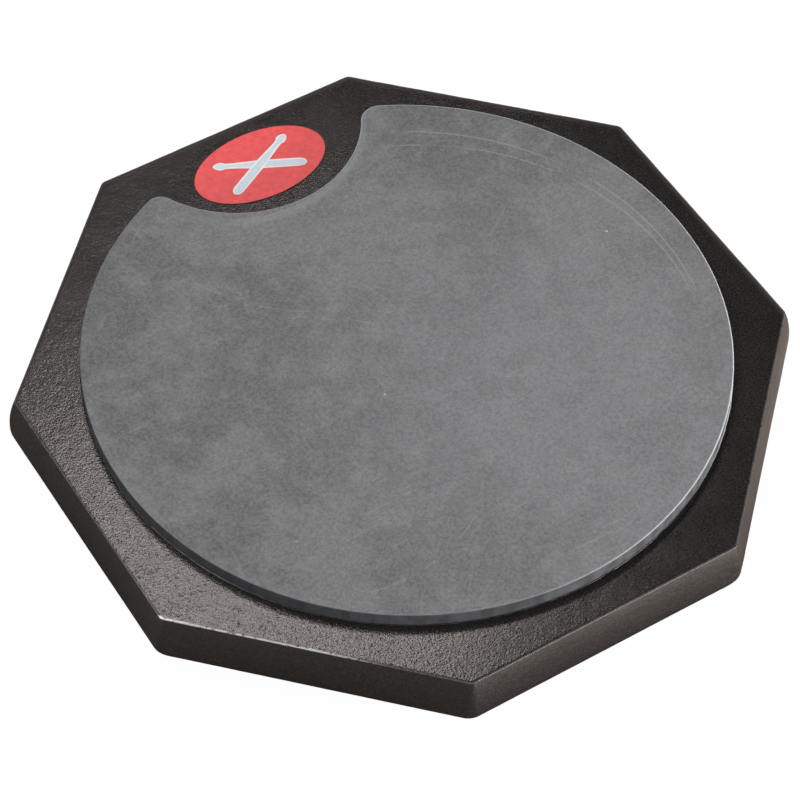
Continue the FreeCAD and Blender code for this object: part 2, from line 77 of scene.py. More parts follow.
RIGHT_SHOULDER = 5.0 * MM
RUBBER_TURN = math.radians(-0.9)
RIM_EASE = 0.3 * MM
PALEST_PLACE = (26 * MM, -30 * MM, 24 * MM)     # the rubber is palest round here


# ---------------------------------------------------------------- node helper

class Shader:
    """A node material under construction, with short calls for the nodes used again and again."""

    def __init__(self, name):
        self.material = bpy.data.materials.new(name)
        self.material.use_nodes = True
        self.tree = self.material.node_tree
        self.tree.nodes.clear()
        self.output = self.tree.nodes.new("ShaderNodeOutputMaterial")
        self.place = self.tree.nodes.new("ShaderNodeTexCoord").outputs["Object"]

    def add(self, kind, inputs=None, **settings):
        """A node with its settings, and its inputs given as numbers, colours or other sockets."""
        node = self.tree.nodes.new(kind)
        for key, value in settings.items():
            setattr(node, key, value)
        for key, value in (inputs or {}).items():
            self.feed(node.inputs[key], value)
        return node

    def feed(self, socket, value):
        """Link a socket to another one, or set it to a value."""
        if isinstance(value, bpy.types.NodeSocket):
            self.tree.links.new(value, socket)
        else:
            socket.default_value = value

    def stretched(self, scale, turn=(0, 0, 0)):
        """Object coordinates turned and scaled unevenly, for grain that runs one way."""
        return self.add(
            "ShaderNodeMapping", {"Vector": self.place, "Scale": scale, "Rotation": turn}
        ).outputs["Vector"]

    def noise(self, size, detail=2.0, roughness=0.5, warp=0.0, place=None):
        """Noise whose features are about this size in metres, from 0 to 1."""
        return self.add(
            "ShaderNodeTexNoise",
            {
                "Vector": place or self.place, "Scale": 1 / size, "Detail": detail,
                "Roughness": roughness, "Distortion": warp,
            },
        ).outputs["Fac"]

    def cells(self, size, smoothness):
        """Distance field of pebbles about this size in metres."""
        inputs = {"Vector": self.place, "Scale": 1 / size, "Smoothness": smoothness}
        return self.add("ShaderNodeTexVoronoi", inputs, feature="SMOOTH_F1").outputs["Distance"]

    def maths(self, operation, first, second=0.0, clamp=False):
        """What an operation makes of one or two numbers."""
        node = self.add("ShaderNodeMath", {0: first, 1: second}, operation=operation)
        node.use_clamp = clamp
        return node.outputs[0]

    def sum(self, first, second, clamp=False):
        """Two numbers added, and held at 1 if clamped."""
        return self.maths("ADD", first, second, clamp)

    def times(self, first, second):
        """Two numbers multiplied."""
        return self.maths("MULTIPLY", first, second)

    def larger(self, first, second):
        """The larger of two numbers."""
        return self.maths("MAXIMUM", first, second)

    def ramp(self, value, low, high, out_low=0.0, out_high=1.0):
        """Maps low..high to out_low..out_high, smoothly, and holds the ends."""
        return self.add(
            "ShaderNodeMapRange",
            {0: value, 1: low, 2: high, 3: out_low, 4: out_high},
            interpolation_type="SMOOTHSTEP",
        ).outputs[0]

    def mix(self, share, first, second):
        """First colour where share is 0, second where it is 1."""
        node = self.add("ShaderNodeMix", data_type="RGBA")
        self.feed(node.inputs["Factor"], share)
        self.feed(node.inputs[6], first)
        self.feed(node.inputs[7], second)
        return node.outputs[2]

    def blend(self, share, first, second):
        """First number where share is 0, second where it is 1."""
        return self.add("ShaderNodeMix", {0: share, 2: first, 3: second}).outputs[0]

    def bump(self, height, distance):
        """A normal bent by a height, whose full range stands this far out in metres."""
        inputs = {"Height": height, "Distance": distance, "Strength": 1.0}
        return self.add("ShaderNodeBump", inputs).outputs["Normal"]

    def scratches(self, length, width, turn, rarity):
        """Sparse hairlines of about this length and width, 1 on a line and 0 off it."""
        grain = self.stretched((1 / length, 1 / width, 0.0), (0, 0, math.radians(turn)))
        streak = self.noise(1.0, detail=1.0, roughness=0.4, place=grain)
        return self.ramp(streak, rarity, rarity + 0.05)

    def specks(self, spacing, radius):
        """Small dots strewn about this far apart, 1 on a dot and 0 off it."""
        cells = self.add(
            "ShaderNodeTexVoronoi", {"Vector": self.place, "Scale": 1 / spacing}, feature="F1"
        )
        size = self.add("ShaderNodeSeparateColor", {0: cells.outputs["Color"]}).outputs[0]
        reach = self.ramp(size, 0.35, 1.0, 0.0, radius / spacing)
        return self.maths("LESS_THAN", cells.outputs["Distance"], reach)

    def tag(self, name):
        """A number stored on the mesh's points."""
        return self.add("ShaderNodeAttribute", attribute_name=name).outputs["Fac"]

    def axis(self, name):
        """One coordinate of the place being shaded."""
        return self.add("ShaderNodeSeparateXYZ", {0: self.place}).outputs[name]

    def along(self, x, y):
        """How far the place lies along a direction in plan."""
        node = self.add("ShaderNodeVectorMath", {0: self.place, 1: (x, y, 0)}, operation="DOT_PRODUCT")
        return node.outputs["Value"]

    def distance(self, point):
        """How far the place is from a point."""
        node = self.add("ShaderNodeVectorMath", {0: self.place, 1: point}, operation="DISTANCE")
        return node.outputs["Value"]

    def distance_in_plan(self, x, y):
        """How far the place is from an upright line."""
        away = self.add("ShaderNodeVectorMath", {0: self.place, 1: (x, y, 0)}, operation="SUBTRACT")
        flat = self.add("ShaderNodeVectorMath", {0: away.outputs[0], 1: (1, 1, 0)}, operation="MULTIPLY")
        return self.add("ShaderNodeVectorMath", {0: flat.outputs[0]}, operation="LENGTH").outputs["Value"]

    def finish(self, inputs, dull=None):
        """Close the material. Where dull, if given, is 1, its gloss is left out."""
        surface = self.add("ShaderNodeBsdfPrincipled", inputs).outputs["BSDF"]
        if dull is not None:
            plain = self.add("ShaderNodeBsdfDiffuse", {"Color": inputs["Base Color"]}).outputs["BSDF"]
            surface = self.add("ShaderNodeMixShader", {0: dull, 1: surface, 2: plain}).outputs[0]
        self.tree.links.new(surface, self.output.inputs["Surface"])
        return self.material


def grey(level, tint=(1.0, 1.0, 1.0)):
    """A grey, or a colour near it, with full opacity."""
    return (level * tint[0], level * tint[1], level * tint[2], 1.0)


# ---------------------------------------------------------------- mesh helpers

class Shell:
    """Rings of points, each joined to the one before, that make one closed skin.

    Each point carries a number, its tag, that the material can read.
    """

    def __init__(self):
        self.points = []
        self.faces = []
        self.tags = []
        self.last = None
        self.first = None

    def ring(self, points, tag=0.0):
        """Add a ring. Its count and the last ring's may differ by a whole factor."""
        start = len(self.points)
        self.points.extend(points)
        self.tags.extend([tag] * len(points))
        ring = list(range(start, start + len(points)))
        if self.last is None:
            self.first = ring
        else:
            self.join(self.last, ring)
        self.last = ring

    def join(self, one, other):
        """Faces between two rings: four-sided if their counts agree, else fans."""
        many, few = (one, other) if len(one) >= len(other) else (other, one)
        ratio = len(many) // len(few)
        for i, start in enumerate(few):
            following = few[(i + 1) % len(few)]
            if ratio == 1:
                self.faces.append((many[i], many[(i + 1) % len(many)], following, start))
                continue
            for step in range(ratio):
                first = many[i * ratio + step]
                second = many[(i * ratio + step + 1) % len(many)]
                near = start if step < ratio // 2 else following
                self.faces.append((first, second, near))
            self.faces.append((many[i * ratio + ratio // 2], following, start))

    def close(self, point, tag=0.0):
        """Fan the last ring to one point."""
        self.points.append(point)
        self.tags.append(tag)
        centre = len(self.points) - 1
        for i, start in enumerate(self.last):
            self.faces.append((start, self.last[(i + 1) % len(self.last)], centre))

    def plug(self, point, tag=0.0):
        """Fan the first ring to one point."""
        self.last = self.first
        self.close(point, tag)

    def close_round(self):
        """Join the last ring back to the first."""
        self.join(self.last, self.first)

    def build(self, name, tag_name=None):
        """The finished mesh, smooth, with its tags stored under a name if one is given."""
        mesh = bpy.data.meshes.new(name)
        mesh.from_pydata(self.points, [], self.faces)
        face_outwards(mesh)
        mesh.shade_smooth()
        if tag_name:
            layer = mesh.attributes.new(tag_name, "FLOAT", "POINT")
            layer.data.foreach_set("value", self.tags)
        return mesh


def face_outwards(mesh):
    """Turn every face of a closed mesh to look outwards."""
    work = bmesh.new()
    work.from_mesh(mesh)
    bmesh.ops.recalc_face_normals(work, faces=work.faces)
    work.to_mesh(mesh)
    work.free()


def show(mesh, material, node=None):
    """Put a finished mesh on the pad, in place of a CAD node if one is given."""
    piece = bpy.data.objects.new(mesh.name, mesh)
    bpy.context.scene.collection.objects.link(piece)
    mesh.materials.append(material)
    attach(piece, "root")
    if node:
        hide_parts(node)


def ripple(point, size, seed=0.0):
    """Smooth noise between about -1 and 1, in bumps of about this size."""
    return noise.noise(Vector((point.x / size + seed, point.y / size, point.z / size - seed)))


def roughen(mesh, height):
    """Move each point along its normal by height(point, normal)."""
    normals = [vertex.normal.copy() for vertex in mesh.vertices]
    for vertex, normal in zip(mesh.vertices, normals):
        vertex.co += normal * height(vertex.co, normal)
    mesh.update()


def lerp(first, second, share):
    """First where share is 0, second where it is 1."""
    return first + (second - first) * share


def smooth_step(low, high, value):
    """0 at low and 1 at high, easing between and holding beyond."""
    share = min(1.0, max(0.0, (value - low) / (high - low)))
    return share * share * (3 - 2 * share)


def steps(start, end, count, skip_first=False):
    """Evenly spaced values from start to end."""
    values = [lerp(start, end, i / count) for i in range(count + 1)]
    return values[1:] if skip_first else values


def circle(radius, z, count=200, start=0.0):
    """Points round a level circle about the pad's own axis."""
    angles = [start + TAU * i / count for i in range(count)]
    return [Vector((radius * math.cos(a), radius * math.sin(a), z)) for a in angles]


# ---------------------------------------------------------------- base board

SIDES = 8
HALF_SIDE = math.tan(math.pi / SIDES)
STRAIGHT_STEPS = 180
CORNER_STEPS = 20


def octagon(apothem, corner, z):
    """Points round an octagon with rounded corners."""
    core = apothem - corner
    half = core * HALF_SIDE
    lift = Vector((0, 0, z))
    points = []
    for side in range(SIDES):
        facing = side * TAU / SIDES
        out = Vector((math.cos(facing), math.sin(facing), 0))
        along = Vector((-out.y, out.x, 0))
        for step in range(STRAIGHT_STEPS):
            across = lerp(-half, half, step / STRAIGHT_STEPS)
            points.append(out * apothem + along * across + lift)
        centre = out * core + along * half + lift
        for step in range(CORNER_STEPS):
            angle = facing + TAU / SIDES * step / CORNER_STEPS
            points.append(centre + Vector((math.cos(angle), math.sin(angle), 0)) * corner)
    return points


def rounder(points, radius, share):
    """The same ring drawn part of the way to a circle."""
    mixed = []
    for point in points:
        flat = Vector((point.x, point.y, 0)).normalized() * radius + Vector((0, 0, point.z))
        mixed.append(point.lerp(flat, share))
    return mixed


def board_circle(radius, z):
    """A circle whose first point lies with the octagon's."""
    return circle(radius, z, start=-math.pi / SIDES)


def board_mesh():
    """The octagonal board, dense where it shows, with its arris, bowed side and round underside."""
    widest = BOARD_HIGH.x
    low, high = BOARD_LOW.z, BOARD_HIGH.z
    waist = low + UNDERSIDE_ROUND
    shell = Shell()

    seat = high - NUT_SEAT_DEPTH
    shell.ring(board_circle(NUT_BARREL_HOLE, low))
    shell.ring(board_circle(NUT_BARREL_HOLE, seat))
    shell.ring(board_circle(NUT_SEAT, seat))
    shell.ring(board_circle(NUT_SEAT, high), tag=1)
    shell.ring(board_circle(HIDDEN_REACH, high), tag=1)

    for reach in steps(HIDDEN_REACH + 1 * MM, DENSE_REACH, 22):
        share = 1 - smooth_step(HIDDEN_REACH, DENSE_REACH, reach)
        shell.ring(rounder(octagon(reach, CORNER_ROUND_TOP, high), reach, share), tag=1)
    edge = TOP_REACH - ARRIS_WIDTH
    for reach in steps(DENSE_REACH, edge, 30, skip_first=True):
        shell.ring(octagon(reach, CORNER_ROUND_TOP, high), tag=1)

    # the paint rolls off towards the arris, then turns tightly down onto the bowed side
    bow_height = high - waist
    bow_radius = (bow_height ** 2 + EDGE_BULGE ** 2) / (2 * EDGE_BULGE)
    roll_lean = math.pi / 2 - 2 * ARRIS_DROP / ARRIS_WIDTH
    bow_lean = math.asin(bow_height / bow_radius)
    turn_height = high - ARRIS_DROP - ARRIS_ROUND * math.sin(roll_lean)
    bow_top = turn_height + ARRIS_ROUND * math.sin(bow_lean)
    bow_start = math.asin((bow_top - waist) / bow_radius)
    turn_reach = widest - bow_radius * (1 - math.cos(bow_start)) - ARRIS_ROUND * math.cos(bow_lean)
    roll_reach = turn_reach + ARRIS_ROUND * math.cos(roll_lean)
    for share in steps(0, 1, 5, skip_first=True):
        ring = octagon(lerp(edge, roll_reach, share), CORNER_ROUND_TOP, high - ARRIS_DROP * share ** 2)
        shell.ring(ring, tag=1 - 0.2 * share)
    for share in steps(0, 1, 4, skip_first=True):
        lean = lerp(roll_lean, bow_lean, share)
        reach = turn_reach + ARRIS_ROUND * math.cos(lean)
        z = turn_height + ARRIS_ROUND * math.sin(lean)
        shell.ring(octagon(reach, CORNER_ROUND_TOP, z), tag=0.7 * (1 - share))
    for share in steps(0, 1, 30, skip_first=True):
        lean = bow_start * (1 - share)
        reach = widest - bow_radius * (1 - math.cos(lean))
        corner = lerp(CORNER_ROUND_TOP, CORNER_ROUND_WIDEST, share)
        shell.ring(octagon(reach, corner, waist + bow_radius * math.sin(lean)))
    for share in steps(0, 1, 12, skip_first=True):
        turn = share * math.pi / 2
        reach = widest - UNDERSIDE_ROUND * (1 - math.cos(turn))
        corner = lerp(CORNER_ROUND_WIDEST, CORNER_ROUND_UNDER, share)
        shell.ring(octagon(reach, corner, waist - UNDERSIDE_ROUND * math.sin(turn)))

    for reach in steps(widest - UNDERSIDE_ROUND - 0.6 * MM, HIDDEN_REACH + 1 * MM, 16):
        share = 1 - smooth_step(HIDDEN_REACH, DENSE_REACH, reach)
        shell.ring(rounder(octagon(reach, CORNER_ROUND_UNDER, low), reach, share))
    for reach in steps(HIDDEN_REACH, NUT_BARREL_HOLE + 1 * MM, 8):
        shell.ring(board_circle(reach, low))
    shell.close_round()
    mesh = shell.build("painted_board", "top")

    # the middle of the pitted patch, low on the side that faces -Y
    pitted = Vector((0.43 * TOP_REACH, -TOP_REACH, waist))

    def paint_height(point, normal):
        """Faint swells everywhere, waves and nibbles on the side, worm holes in the pitted patch."""
        swell = 0.010 * ripple(point, 2.3 * MM) + 0.008 * ripple(point, 1.05 * MM, 7)
        upright = 1 - abs(normal.z)
        if upright < 0.004:
            return swell * MM
        near_arris = smooth_step(1.3 * MM, 0.2 * MM, high - point.z)
        wave = 0.05 * ripple(point, 13 * MM, 3) + 0.014 * ripple(point, 3.1 * MM, 5)
        nibble = 0.020 * ripple(point, 1.5 * MM, 11) + 0.04 * ripple(point, 6 * MM, 13)
        patch = smooth_step(9 * MM, 3 * MM, (point - pitted).length)
        worm = 0.16 * ripple(point, 0.9 * MM, 17) + 0.08 * ripple(point, 1.9 * MM, 19)
        return (swell + wave * upright + nibble * near_arris + worm * patch) * MM

    roughen(mesh, paint_height)
    return mesh


# ---------------------------------------------------------------- rubber and glue

DISC_STEPS = 1160
SHOULDER_STEPS = 25
FILM_WIDTH = 3 * MM                 # the glue is modelled this far in from the rubber's edge
NOTCH_STEPS = 190
RUBBER_CENTRE = Vector((
    (RUBBER_LOW.x + RUBBER_HIGH.x) / 2, RUBBER_LOW.y + (RUBBER_HIGH.x - RUBBER_LOW.x) / 2, 0
))
RUBBER_RADIUS = (RUBBER_HIGH.x - RUBBER_LOW.x) / 2


def sweep(centre, radius, start, end, count):
    """Points on an arc, leaving out its last one."""
    angles = [lerp(start, end, i / count) for i in range(count)]
    return [centre + Vector((math.cos(a), math.sin(a), 0)) * radius for a in angles]


def shoulder(radius, side):
    """Centre of the round between disc and bite, and the angles where it meets the two."""
    to_disc = RUBBER_RADIUS - radius
    to_notch = NOTCH_RADIUS + radius
    spread = math.acos(
        (to_disc ** 2 + NOTCH_CENTRE ** 2 - to_notch ** 2) / (2 * to_disc * NOTCH_CENTRE)
    )
    on_disc = math.pi / 2 + side * spread
    centre = Vector((math.cos(on_disc), math.sin(on_disc), 0)) * to_disc
    lean = math.atan2(abs(centre.x), NOTCH_CENTRE - centre.y)
    return centre, on_disc, -math.pi / 2 - side * lean


def rubber_outline(inset, z):
    """The disc with its round bite for the label, drawn in by inset."""
    bite = Vector((0, NOTCH_CENTRE, 0))
    left_centre, left, notch_left = shoulder(LEFT_SHOULDER, 1)
    right_centre, right, notch_right = shoulder(RIGHT_SHOULDER, -1)
    left_round, right_round = LEFT_SHOULDER - inset, RIGHT_SHOULDER - inset
    points = sweep(Vector(), RUBBER_RADIUS - inset, left, right + TAU, DISC_STEPS)
    points += sweep(right_centre, right_round, right, notch_right + math.pi, SHOULDER_STEPS)
    points += sweep(bite, NOTCH_RADIUS + inset, notch_right, notch_left, NOTCH_STEPS)
    points += sweep(left_centre, left_round, notch_left + math.pi, left, SHOULDER_STEPS)
    turn = Matrix.Rotation(RUBBER_TURN, 3, "Z")
    return [turn @ point + RUBBER_CENTRE + Vector((0, 0, z)) for point in points]


def towards(points, centre, share):
    """A ring drawn in towards a point in its own plane."""
    return [centre + (point - centre) * share for point in points]


def rubber_mesh():
    """The rubber disc. Its tag is -1 on the wall, 0 at the rim, then millimetres in from the rim."""
    low, high = RUBBER_LOW.z, RUBBER_TOP
    # the rings close in on a point away from the bite, so that they don't cross
    core = RUBBER_CENTRE + Vector((0, -0.25 * RUBBER_RADIUS, 0))
    core_low, core_high = core + Vector((0, 0, low)), core + Vector((0, 0, high))
    shell = Shell()
    foot = rubber_outline(0.05 * MM, low)
    shell.ring(towards(foot[::8], core_low, 0.2), tag=-1.0)
    shell.ring(towards(foot, core_low, 0.5), tag=-1.0)
    shell.ring(foot, tag=-1.0)
    for z in steps(low + 0.1 * MM, high - RIM_EASE, 13):
        shell.ring(rubber_outline(0.0, z), tag=-1.0)
    for share in steps(0, 1, 4, skip_first=True):
        turn = share * math.pi / 2
        inset = RIM_EASE * (1 - math.cos(turn))
        z = high - RIM_EASE * (1 - math.sin(turn))
        shell.ring(rubber_outline(inset, z), tag=-1.0 + share)
    for inset in (0.5, 0.8, 1.2, 1.7, 2.3, 3.0):
        shell.ring(rubber_outline(inset * MM, high), tag=inset)
    rim = rubber_outline(3.0 * MM, high)
    for share in steps(0.985, 0.12, 42):
        shell.ring(towards(rim, core_high, share), tag=3.0 + (1 - share) * 75)
    shell.ring(towards(rim[::8], core_high, 0.08), tag=72.0)
    shell.close(core_high, tag=75.0)
    shell.plug(core_low, tag=-1.0)
    disc = shell.build("rubber_disc", "rim")

    def cut_height(point, normal):
        """Slow swells on the flat, slanting knife marks on the wall."""
        swell = 0.035 * ripple(point, 30 * MM) + 0.010 * ripple(point, 8 * MM, 3)
        flat = abs(normal.z)
        if flat > 0.98:
            return swell * MM
        around = math.atan2(point.y, point.x) * RUBBER_RADIUS
        slanted = Vector((around + 1.6 * point.z, 0.22 * point.z, 0))
        knife = 0.022 * ripple(slanted, 1.1 * MM, 5) + 0.03 * ripple(slanted, 6 * MM, 9)
        rim = 0.03 * ripple(point, 2.6 * MM, 11) * smooth_step(0.0, 0.7, flat)
        return (swell * flat + knife * (1 - flat) + rim) * MM

    roughen(disc, cut_height)
    return disc


def glue_mesh():
    """The glue film, with a thin uneven bead squeezed out round the rubber."""
    low, high = GLUE_LOW.z, GLUE_HIGH.z
    shell = Shell()
    shell.ring(rubber_outline(FILM_WIDTH, low))
    for squeezed_out, share in ((0.16, 0), (0.22, 0.25), (0.19, 0.55), (0.10, 0.85), (0.01, 1)):
        shell.ring(rubber_outline(-squeezed_out * MM, lerp(low, high, share)))
    shell.ring(rubber_outline(FILM_WIDTH, high))
    shell.close_round()
    mesh = shell.build("glue_bead")

    def squeeze(point, normal):
        """Uneven only on the bead."""
        if abs(normal.z) > 0.95:
            return 0.0
        return (0.09 * ripple(point, 3.5 * MM) + 0.05 * ripple(point, 1.3 * MM, 5)) * MM

    roughen(mesh, squeeze)
    return mesh


# ---------------------------------------------------------------- label motif

STICK_LENGTH = 22.5 * MM
STICK_SLOPE = 27.0
STICK_THIN = 0.42 * MM              # half widths along a stick
STICK_THICK = 0.92 * MM
STICK_BEAD = 0.86 * MM
TAPER_START, BEAD_START, BEAD_MIDDLE = 0.45, 0.86, 0.93     # shares of its length
BEAD_REACH = 0.0701
MOTIF_LAYER = 0.03 * MM
MOTIF_SINK = 0.01 * MM
LABEL_TURN = math.radians(1.2)


def stick_half_width(along):
    """Half the width of a drumstick at a place from 0 at its butt to 1 at its bead."""
    if along < BEAD_START:
        butt = math.sqrt(min(1.0, along / 0.035 + 0.02))
        taper = 1 - smooth_step(TAPER_START, BEAD_START, along)
        return lerp(STICK_THIN, STICK_THICK, taper) * butt
    bead = (along - BEAD_MIDDLE) / BEAD_REACH
    neck = STICK_THIN if along < 0.9 else 0.0
    return max(neck, STICK_BEAD * math.sqrt(max(0.0, 1 - bead * bead)))


def stick_outline(slope, grow):
    """Outline of a drumstick through the middle of the label, grown all round."""
    centre = (LABEL_LOW + LABEL_HIGH) / 2
    turn = Matrix.Rotation(math.radians(slope) + LABEL_TURN, 3, "Z")
    side = []
    for along in steps(0, 1, 70):
        x = lerp(-STICK_LENGTH / 2 - grow, STICK_LENGTH / 2 + grow, along)
        side.append((x, stick_half_width(along) + grow * min(1.0, 12 * along, 12 * (1 - along))))
    outline = side + [(x, -y) for x, y in reversed(side[1:-1])]
    flat = Vector((centre.x, centre.y, 0))
    return [turn @ Vector((x, y, 0)) + flat for x, y in outline]


def motif_mesh(name, grow, lift):
    """Two crossed drumsticks, one printed over the other."""
    mesh = bpy.data.meshes.new(name)
    work = bmesh.new()
    for layer, slope in enumerate((180 - STICK_SLOPE, STICK_SLOPE)):
        low = LABEL_HIGH.z - MOTIF_SINK
        high = LABEL_HIGH.z + lift + layer * 2 * MOTIF_LAYER
        outline = stick_outline(slope, grow)
        under = [work.verts.new(point + Vector((0, 0, low))) for point in outline]
        over = [work.verts.new(point + Vector((0, 0, high))) for point in outline]
        work.faces.new(over)
        work.faces.new(list(reversed(under)))
        for i, first in enumerate(under):
            j = (i + 1) % len(under)
            work.faces.new((first, under[j], over[j], over[i]))
    bmesh.ops.recalc_face_normals(work, faces=work.faces)
    bmesh.ops.triangulate(work, faces=[face for face in work.faces if len(face.verts) > 4])
    work.to_mesh(mesh)
    work.free()
    return mesh


# ---------------------------------------------------------------- tee nut and feet

THREAD_PITCH = 1.25 * MM
THREAD_MINOR = 3.325 * MM
THREAD_MAJOR = 4.0 * MM
BARREL_RADIUS = 5.0 * MM
FLANGE_THICKNESS = 1.5 * MM
PRONG_INNER = 9.0 * MM
PRONG_THICKNESS = 1.2 * MM
ROUND_STEPS = 96
# All in millimetres. A prong: depth below the flange and half width.
PRONG_SHAPE = ((-0.1, 2.2), (1.2, 2.15), (4.2, 1.2), (6.5, 0.4))
# A foot inside its tip: radius and height above the floor.
GRIP_GROOVE = [(5.62, 0.0), (5.56, 0.10), (5.45, 0.14), (5.34, 0.10), (5.28, 0.0)]
FOOT_RECESS = [(5.0, 0.0), (4.86, 0.05), (4.80, 0.18), (4.80, 3.05), (4.70, 3.2)]
FOOT_HOLE = [(2.1, 3.2), (1.9, 3.35), (1.9, 4.9), (2.0, 5.0), (5.0, 5.0)]


def thread_ring(z, share):
    """A ring on the threaded bore. Share 1 is full depth of thread, 0 is the widest bore."""
    points = []
    for i in range(ROUND_STEPS):
        turn = i / ROUND_STEPS
        phase = (z / THREAD_PITCH - turn) % 1.0
        crest = min(1.0, max(0.0, 2.6 * abs(2 * phase - 1) - 0.8))
        radius = lerp(THREAD_MAJOR, THREAD_MINOR, crest * share)
        angle = TAU * turn
        points.append(Vector((radius * math.cos(angle), radius * math.sin(angle), z)))
    return points


def nut_mesh():
    """A stamped M8 tee nut, its flange up under the rubber and its barrel down in the board."""
    low, high = NUT_LOW.z, NUT_HIGH.z
    flange = (NUT_HIGH.x - NUT_LOW.x) / 2
    shell = Shell()
    soft = 0.35 * MM
    for z in steps(low, high, 150):
        run_in = min(1.0, (z - low) / (0.7 * MM), (high - z) / (0.7 * MM))
        shell.ring(thread_ring(z, run_in))
    shell.ring(circle(THREAD_MAJOR + 0.5 * MM, high, ROUND_STEPS))
    shell.ring(circle(flange - soft, high, ROUND_STEPS))
    shell.ring(circle(flange - 0.1 * MM, high - 0.12 * MM, ROUND_STEPS))
    shell.ring(circle(flange, high - soft, ROUND_STEPS))
    shell.ring(circle(flange, high - FLANGE_THICKNESS + 0.1 * MM, ROUND_STEPS))
    shell.ring(circle(flange - 0.1 * MM, high - FLANGE_THICKNESS, ROUND_STEPS))
    shell.ring(circle(BARREL_RADIUS + 0.05 * MM, high - FLANGE_THICKNESS, ROUND_STEPS))
    shell.ring(circle(BARREL_RADIUS, high - FLANGE_THICKNESS - 0.05 * MM, ROUND_STEPS))
    for z in steps(high - 2 * FLANGE_THICKNESS, low + 0.3 * MM, 6):
        shell.ring(circle(BARREL_RADIUS, z, ROUND_STEPS))
    shell.ring(circle(BARREL_RADIUS - 0.12 * MM, low + 0.08 * MM, ROUND_STEPS))
    shell.ring(circle(BARREL_RADIUS - 0.3 * MM, low, ROUND_STEPS))
    shell.close_round()
    mesh = shell.build("tee_nut")
    work = bmesh.new()
    work.from_mesh(mesh)
    for number in range(4):
        add_prong(work, Matrix.Rotation(TAU * number / 4, 3, "Z"), high - FLANGE_THICKNESS)
    work.to_mesh(mesh)
    work.free()
    mesh.shade_smooth()
    return mesh


def add_prong(work, turn, root):
    """One pointed prong bent down from the flange."""
    corners = []
    for drop, half in PRONG_SHAPE:
        for x, y in ((0, -half), (0, half), (1, half), (1, -half)):
            place = Vector((PRONG_INNER + x * PRONG_THICKNESS, y * MM, root - drop * MM))
            corners.append(work.verts.new(turn @ place))
    faces = [work.faces.new(corners[0:4]), work.faces.new(list(reversed(corners[-4:])))]
    for level in range(3):
        for i in range(4):
            j = (i + 1) % 4
            base = 4 * level
            faces.append(work.faces.new((
                corners[base + i], corners[base + 4 + i], corners[base + 4 + j], corners[base + j]
            )))
    bmesh.ops.recalc_face_normals(work, faces=faces)


def foot_mesh(name, node):
    """A moulded foot: waisted side, round tip, a grip groove and a recess for its screw."""
    low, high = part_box(node)
    middle = Vector(((low.x + high.x) / 2, (low.y + high.y) / 2, 0))
    base = (high.x - low.x) / 2 / MM
    profile = [(base - 0.15, 5.0), (base, 4.85), (base, 4.35), (base - 0.22, 4.2)]
    for share in steps(0, 1, 8, skip_first=True):
        waist = 0.14 * math.sin(math.pi * share)
        profile.append((lerp(base - 0.22, base - 1.25, share) - waist, lerp(4.2, 1.0, share)))
    for share in steps(0, 1, 7, skip_first=True):
        turn = -share * math.pi / 2
        profile.append((base - 2.25 + math.cos(turn), 1 + math.sin(turn)))
    shell = Shell()
    for radius, z in profile + GRIP_GROOVE + FOOT_RECESS + FOOT_HOLE:
        ring = circle(radius * MM, low.z + z * MM, ROUND_STEPS)
        shell.ring([point + middle for point in ring])
    shell.close_round()
    mesh = shell.build(name)
    tip = low.z + 0.3 * MM

    def skin_height(point, normal):
        """Slight waves, but none at the tip, which stands on the floor."""
        return 0.012 * MM * ripple(point, 1.7 * MM) if point.z > tip else 0.0

    roughen(mesh, skin_height)
    return mesh


# ---------------------------------------------------------------- materials

PEBBLE_SIZE = 0.55 * MM
GRIT_SIZE = 0.42 * MM
DIMPLE_SIZE = 0.9 * MM
BEAD_LENGTH = 1.1 * MM
STROKE_WIDTH = 0.24 * MM
BUFF_SPACING = 0.8 * MM


def sprayed_stipple(look, leftwards):
    """Height of the sprayed pebbles: boldest near the front left corner, faint at the arris."""
    pebbles = look.cells(PEBBLE_SIZE, smoothness=0.8)
    grit = look.noise(GRIT_SIZE, detail=3.0, roughness=0.65)
    dimples = look.ramp(look.noise(DIMPLE_SIZE, detail=2.0), 0.28, 0.42)
    stipple = look.sum(look.times(pebbles, 0.9), look.times(grit, 1.4))
    stipple = look.sum(stipple, look.times(dimples, 0.7))
    across = look.along(0.87, 0.5)
    for strength in (
        look.ramp(across, -85 * MM, -50 * MM, 1.15, 0.68),
        look.ramp(across, -55 * MM, -15 * MM, 1.0, 0.62),
        look.ramp(look.tag("top"), 0.80, 1.0, 0.3, 1.0),
        look.ramp(leftwards, -55 * MM, -15 * MM, 0.50, 1.0),
        look.ramp(leftwards, 50 * MM, 75 * MM, 1.0, 0.80),
    ):
        stipple = look.times(stipple, strength)
    return stipple


def black_of_top(look, patches, specks, leftwards, diagonal):
    """Colour of the top face: speckled black, with painted sheen far left and a painted brown reflection
    at the far edges.
    """
    dark = look.mix(patches, grey(0.0175, (1.0, 0.88, 0.85)), grey(0.0250, (1.0, 0.90, 0.86)))
    dark = look.mix(specks, grey(0.0085, (1.0, 0.88, 0.86)), dark)
    dark = look.mix(look.ramp(specks, 0.55, 0.95, 0.0, 0.38), dark, grey(0.040, (1.0, 0.90, 0.86)))
    # painted sheen: the far left of the top is painted paler where the light's sheen falls
    painted_sheen_far_left = look.ramp(leftwards, 55 * MM, 82 * MM, 0.0, 0.5)
    dark = look.mix(painted_sheen_far_left, dark, grey(0.050, (1.0, 0.89, 0.87)))
    # painted reflection: the far edges of the top are tinted pale brown where the rounded arris reflects
    # the bright room
    reach = look.larger(look.larger(look.axis("X"), look.axis("Y")), diagonal)
    thin = look.ramp(reach, TOP_REACH - 1.9 * MM, TOP_REACH - 0.2 * MM, 0.0, 0.85)
    return look.mix(thin, dark, grey(0.060, (1.0, 0.80, 0.68)))


